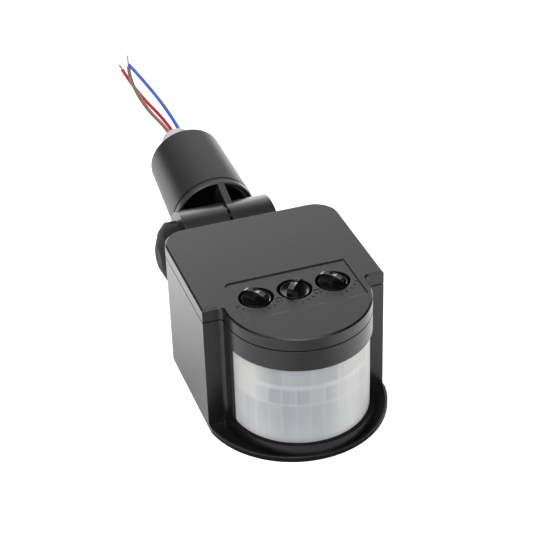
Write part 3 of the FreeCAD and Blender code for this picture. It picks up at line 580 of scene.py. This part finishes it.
def fork_with_mouth():
    """The fork with its ring's mouth opened by a chamfer, cut from a copy of the solid's mesh."""
    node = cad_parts["arm_fork"]
    cutter_shape = bmesh.new()
    turned_ring(cutter_shape, MOUTH)
    cutter_mesh = bpy.data.meshes.new("mouth_cutter")
    cutter_shape.to_mesh(cutter_mesh)
    cutter_shape.free()
    cutter = bpy.data.objects.new("mouth_cutter", cutter_mesh)
    blank = bpy.data.objects.new("mouth_blank", node.data.copy())
    blank.matrix_world = node.matrix_world
    for thing in (cutter, blank):
        bpy.context.scene.collection.objects.link(thing)
    step = blank.modifiers.new("mouth", "BOOLEAN")
    step.operation = "DIFFERENCE"
    step.solver = "EXACT"
    step.object = cutter
    bpy.context.view_layer.update()
    done = blank.evaluated_get(bpy.context.evaluated_depsgraph_get())
    mesh = bpy.data.meshes.new_from_object(done)
    mesh.transform(node.matrix_world)
    for thing in (cutter, blank):
        bpy.data.objects.remove(thing)
    shape = bmesh.new()
    shape.from_mesh(mesh)
    bpy.data.meshes.remove(mesh)
    piece = add_mesh("fork_mouth", shape, fork_black, "arm", 14.0)
    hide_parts("arm_fork")


fork_with_mouth()


# Lens: a bent sheet, smooth outside, with rows of ringed lenslets moulded on its inside.

# Radii and heights of the sheet, the straight run at each end, and the depth of its rings.
LENS_OUT = 23.4
LENS_IN = 22.5
LENS_LOW = 3.2
LENS_HIGH = 38.2
LENS_FLAT = 1.6
RING_DEPTH = 0.16
RING_PITCH = 0.9
# Width of one lenslet, and the edge that they are counted from.
CELL = math.radians(11.4)
CELL_START = math.radians(12.8)
# Rows of lenslets: lower and upper edge, width in cells, and height of the rings' centre.
ROWS = [(28.3, 35.6, 2.0, 31.5), (20.9, 26.9, 1.0, 24.2), (6.4, 20.5, 1.0, 17.5)]
# Colours of the sheet: its own pale colour, a painted shade for the dark inside seen through its middle, and
# the painted shade of the lenslet cells.
LENS_PALE = (0.815, 0.82, 0.805)
LENS_PAINTED_SHADE = (0.495, 0.505, 0.51)
LENS_CELL_SHADE = (0.33, 0.34, 0.38)


def lens_relief(angle, height):
    """Depth of the lenslet rings at a point of the sheet's inside, in millimetres."""
    for low, high, width, middle in ROWS:
        if low <= height <= high:
            span = CELL * width
            centre = (math.floor((angle - CELL_START) / span) + 0.5) * span + CELL_START
            across = (angle - centre) * LENS_IN
            up = height - middle
            ring = math.hypot(across, up) / RING_PITCH
            return RING_DEPTH * (ring - math.floor(ring))
    return 0.0


def build_lens():
    """The sheet as one closed skin, in columns round the drum and rows up it."""
    shape = bmesh.new()
    across = 240
    up = 110
    outer = []
    inner = []

    def station(index):
        """Angle and straight run for a column: the sheet's ends run straight back into the jambs."""
        share = index / across
        total = math.pi * LENS_OUT + 2.0 * LENS_FLAT
        run = share * total - LENS_FLAT
        if run < 0.0:
            return -math.pi / 2.0, -run
        if run > math.pi * LENS_OUT:
            return math.pi / 2.0, run - math.pi * LENS_OUT
        return run / LENS_OUT - math.pi / 2.0, 0.0

    for column in range(across + 1):
        angle, straight = station(column)
        line_out = []
        line_in = []
        for row in range(up + 1):
            height = LENS_LOW + (LENS_HIGH - LENS_LOW) * row / up
            for radius, line in ((LENS_OUT, line_out), (LENS_IN + lens_relief(angle, height), line_in)):
                back = DRUM_Y - radius * math.cos(angle) + straight
                line.append(shape.verts.new(Vector((radius * math.sin(angle), back, height)) * MM))
        outer.append(line_out)
        inner.append(line_in)
    for column in range(across):
        for row in range(up):
            shape.faces.new((outer[column][row], outer[column + 1][row],
                             outer[column + 1][row + 1], outer[column][row + 1]))
            shape.faces.new((inner[column][row], inner[column][row + 1],
                             inner[column + 1][row + 1], inner[column + 1][row]))
        shape.faces.new((outer[column][0], inner[column][0], inner[column + 1][0], outer[column + 1][0]))
        shape.faces.new((outer[column][up], outer[column + 1][up],
                         inner[column + 1][up], inner[column][up]))
    for row in range(up):
        shape.faces.new((outer[0][row], outer[0][row + 1], inner[0][row + 1], inner[0][row]))
        shape.faces.new((outer[across][row], inner[across][row],
                         inner[across][row + 1], outer[across][row + 1]))
    return shape


def lens_shader():
    """Milky polythene: pale, with painted shade in the middle and lenslet cells of uneven painted greys
    there.
    """
    shader = Shader("lens_milky")
    x, y, z = shader.axes()
    angle = shader.math("ARCTAN2", x, shader.math("SUBTRACT", DRUM_Y * MM, y))
    height = shader.math("MULTIPLY", z, 1000.0)

    def gate(value, low, high, soft):
        """One between two values, with soft ends."""
        rise = shader.spread(value, 0.0, 1.0, low - soft, low + soft)
        fall = shader.spread(value, 1.0, 0.0, high - soft, high + soft)
        return shader.product(rise, fall)

    def sector(low, high, soft):
        """One between two angles round the drum, in degrees."""
        return gate(angle, math.radians(low), math.radians(high), math.radians(soft))

    def drift(first, last, start, end):
        """A slow change from one value to another between two angles, in degrees."""
        return shader.spread(angle, first, last, math.radians(start), math.radians(end))

    def cells(period, row, slope, streak):
        """Painted shade of a row's cells, for the dark inside seen through the lenslets: each has its own
        tone, a slope across it and pale edges.
        """
        place = shader.math("DIVIDE", shader.math("SUBTRACT", angle, CELL_START), period)
        number = shader.math("FLOOR", place)
        share = shader.math("FRACT", place)
        pair = shader.nodes.new("ShaderNodeCombineXYZ")
        shader.join(number, pair.inputs[0])
        pair.inputs[1].default_value = row
        chance = shader.nodes.new("ShaderNodeTexWhiteNoise")
        chance.noise_dimensions = "2D"
        shader.join(pair.outputs[0], chance.inputs["Vector"])
        own = shader.spread(chance.outputs["Value"], 0.5, 1.05, 0.0, 1.0)
        across = shader.spread(share, min(1.0, 1.0 + slope), min(1.0, 1.0 - slope), 0.0, 1.0)
        away = shader.math("ABSOLUTE", shader.math("SUBTRACT", share, 0.5))
        pale = shader.spread(away, 1.0, 1.0 - streak, 0.38, 0.5)
        return shader.product(own, across, pale)

    # How much of the cells' painted shade shows in each row. It fades towards both sides, and downwards in
    # the lowest row.
    top = shader.product(gate(height, 28.3, 44.0, 0.4), cells(2.0 * CELL, 1.0, -0.35, 0.15))
    middle = shader.product(gate(height, 20.95, 26.6, 0.6), cells(CELL, 2.0, 0.35, 0.5))
    fade = shader.product(gate(height, 4.0, 20.4, 0.4), shader.spread(height, 0.1, 1.0, 5.0, 17.0))
    low = shader.product(fade, cells(CELL, 3.0, 0.3, 0.4))
    inside = sector(-55.6, 46.0, 1.5)
    wider = sector(-78.4, 46.0, 3.0)
    far = drift(1.0, 0.3, 5.0, 35.0)
    near = drift(1.0, 0.25, -10.0, 16.0)
    upper = shader.product(top, far, inside)
    centre = shader.product(middle, near, inside)
    lower = shader.product(low, near, wider)
    rows = shader.math("ADD", shader.math("ADD", upper, centre), lower)
    tone = shader.product(rows, drift(0.35, 1.0, -56.0, -38.0))

    # Faint streaks in the sheet, drawn out along its height.
    along = shader.nodes.new("ShaderNodeCombineXYZ")
    shader.join(angle, along.inputs[0])
    shader.join(shader.math("MULTIPLY", z, 2.0), along.inputs[1])
    grain = shader.nodes.new("ShaderNodeTexNoise")
    grain.inputs["Scale"].default_value = 30.0
    grain.inputs["Detail"].default_value = 3.0
    shader.join(along.outputs[0], grain.inputs["Vector"])
    streaks = shader.product(tone, shader.spread(grain.outputs["Fac"], 0.93, 1.04))
    faint = shader.math("ADD", streaks, shader.spread(grain.outputs["Fac"], 0.0, 0.09))

    # The sheet itself: painted shade in the middle, for the dark inside that shows through, and a fainter
    # painted shade at the left side; a little warmer above and cooler below.
    shade = shader.math("MAXIMUM", drift(0.35, 0.0, -50.0, -30.0), sector(-50.0, 12.0, 14.0))
    plain = shader.blend(shade, LENS_PALE, LENS_PAINTED_SHADE)
    warm = shader.blend(shader.spread(height, 0.0, 1.0, 14.0, 32.0), (0.98, 0.985, 1.0), (1.0, 1.0, 0.965))
    sheet = shader.blend(1.0, plain, warm, "MULTIPLY")
    shader.set(colour=shader.blend(faint, sheet, LENS_CELL_SHADE), roughness=0.4, ior=1.5, transmission=0.06)
    shader.bump(shader.noise(1800.0, 2.0), 0.3, 0.00001)
    return shader.material


lens_piece = add_mesh("lens_sheet", build_lens(), lens_shader(), "head", 22.0)
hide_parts("lens")


# Floor and room.

# Where the paper is lit: axis, start and end of the rise in metres, and strength.
FLOOR_LIGHT = [("X", -0.02, -0.06, 0.52), ("X", 0.02, 0.06, 0.98), ("Y", 0.03, 0.09, 0.78)]
FLOOR_REACH = 4.0
PAPER = (0.7, 0.7, 0.7, 1.0)
PAPER_GLOW = 0.72
# Soft light patches of the room: azimuth from the rear towards the right, height above the
# horizon, outer and inner half angle, all in degrees, and strength.
PATCHES = [
    (0.0, 8.0, 24.0, 7.0, 4.9),
    (36.0, 8.0, 24.0, 7.0, 1.1),
    (180.0, 8.0, 24.0, 7.0, 2.4),
    (18.0, 28.0, 24.0, 7.0, 1.5),
    (198.0, 28.0, 24.0, 7.0, 3.9),
    (206.0, 50.0, 24.0, 7.0, 4.3),
    (290.0, 72.0, 30.0, 7.0, 5.2),
    (158.0, 52.0, 14.0, 5.0, 4.0),
]
ROOM = (0.8, 0.8, 0.8, 1.0)
BACKDROP = (1.0, 1.0, 1.0, 1.0)


def combine(tree, operation, first, second):
    """One step of arithmetic in a node tree, on numbers or sockets."""
    node = tree.nodes.new("ShaderNodeMath")
    node.operation = operation
    for index, value in enumerate((first, second)):
        if isinstance(value, (int, float)):
            node.inputs[index].default_value = value
        else:
            tree.links.new(value, node.inputs[index])
    return node.outputs[0]


def ramp(tree, value, start, end, strength, kind="LINEAR"):
    """A rise from nothing at the start to a strength at the end."""
    node = tree.nodes.new("ShaderNodeMapRange")
    node.interpolation_type = kind
    node.inputs["From Min"].default_value = start
    node.inputs["From Max"].default_value = end
    node.inputs["To Min"].default_value = 0.0
    node.inputs["To Max"].default_value = strength
    tree.links.new(value, node.inputs["Value"])
    return node.outputs["Result"]


def build_floor():
    """White paper, which glossy plastic mirrors brightest at the sides and rear."""
    mesh = bpy.data.meshes.new("floor")
    corners = [(x * FLOOR_REACH, y * FLOOR_REACH, 0.0) for x, y in ((-1, -1), (1, -1), (1, 1), (-1, 1))]
    mesh.from_pydata(corners, [], [(0, 1, 2, 3)])
    floor = bpy.data.objects.new("floor", mesh)
    bpy.context.scene.collection.objects.link(floor)
    material = bpy.data.materials.new("floor_white")
    material.use_nodes = True
    tree = material.node_tree
    tree.nodes.clear()
    link = tree.links.new
    output = tree.nodes.new("ShaderNodeOutputMaterial")
    paper = tree.nodes.new("ShaderNodeBsdfDiffuse")
    paper.inputs["Color"].default_value = PAPER
    light = tree.nodes.new("ShaderNodeEmission")
    path = tree.nodes.new("ShaderNodeLightPath")
    place = tree.nodes.new("ShaderNodeNewGeometry")
    apart = tree.nodes.new("ShaderNodeSeparateXYZ")
    link(place.outputs["Position"], apart.inputs[0])
    bright = 0.0
    for axis, near, far, strength in FLOOR_LIGHT:
        bright = combine(tree, "ADD", bright, ramp(tree, apart.outputs[axis], near, far, strength))
    seen = combine(tree, "MAXIMUM", path.outputs["Is Camera Ray"], path.outputs["Is Transmission Ray"])
    glossy = combine(tree, "MULTIPLY", path.outputs["Is Glossy Ray"], bright)
    glow = combine(tree, "ADD", combine(tree, "MULTIPLY", seen, PAPER_GLOW), glossy)
    link(glow, light.inputs["Strength"])
    both = tree.nodes.new("ShaderNodeAddShader")
    link(paper.outputs[0], both.inputs[0])
    link(light.outputs[0], both.inputs[1])
    link(both.outputs[0], output.inputs["Surface"])
    mesh.materials.append(material)


def build_world():
    """A dark room with soft light patches all round. The camera sees plain white behind the object."""
    world = bpy.data.worlds.new("light_room")
    bpy.context.scene.world = world
    world.use_nodes = True
    tree = world.node_tree
    tree.nodes.clear()
    link = tree.links.new
    place = tree.nodes.new("ShaderNodeTexCoord")
    total = 0.0
    for azimuth, height, outer, inner, strength in PATCHES:
        side = math.radians(azimuth)
        rise = math.radians(height)
        toward = tree.nodes.new("ShaderNodeVectorMath")
        toward.operation = "DOT_PRODUCT"
        toward.inputs[1].default_value = (math.sin(side) * math.cos(rise), math.cos(side) * math.cos(rise),
                                          math.sin(rise))
        link(place.outputs["Generated"], toward.inputs[0])
        edge = math.cos(math.radians(outer))
        full = math.cos(math.radians(inner))
        patch = ramp(tree, toward.outputs["Value"], edge, full, strength, "SMOOTHSTEP")
        total = combine(tree, "ADD", total, patch)
    output = tree.nodes.new("ShaderNodeOutputWorld")
    room = tree.nodes.new("ShaderNodeBackground")
    room.inputs["Color"].default_value = ROOM
    link(total, room.inputs["Strength"])
    seen = tree.nodes.new("ShaderNodeBackground")
    seen.inputs["Color"].default_value = BACKDROP
    path = tree.nodes.new("ShaderNodeLightPath")
    mix = tree.nodes.new("ShaderNodeMixShader")
    link(path.outputs["Is Camera Ray"], mix.inputs[0])
    link(room.outputs[0], mix.inputs[1])
    link(seen.outputs[0], mix.inputs[2])
    link(mix.outputs[0], output.inputs["Surface"])


build_floor()
build_world()
bpy.context.scene.view_settings.view_transform = "Standard"
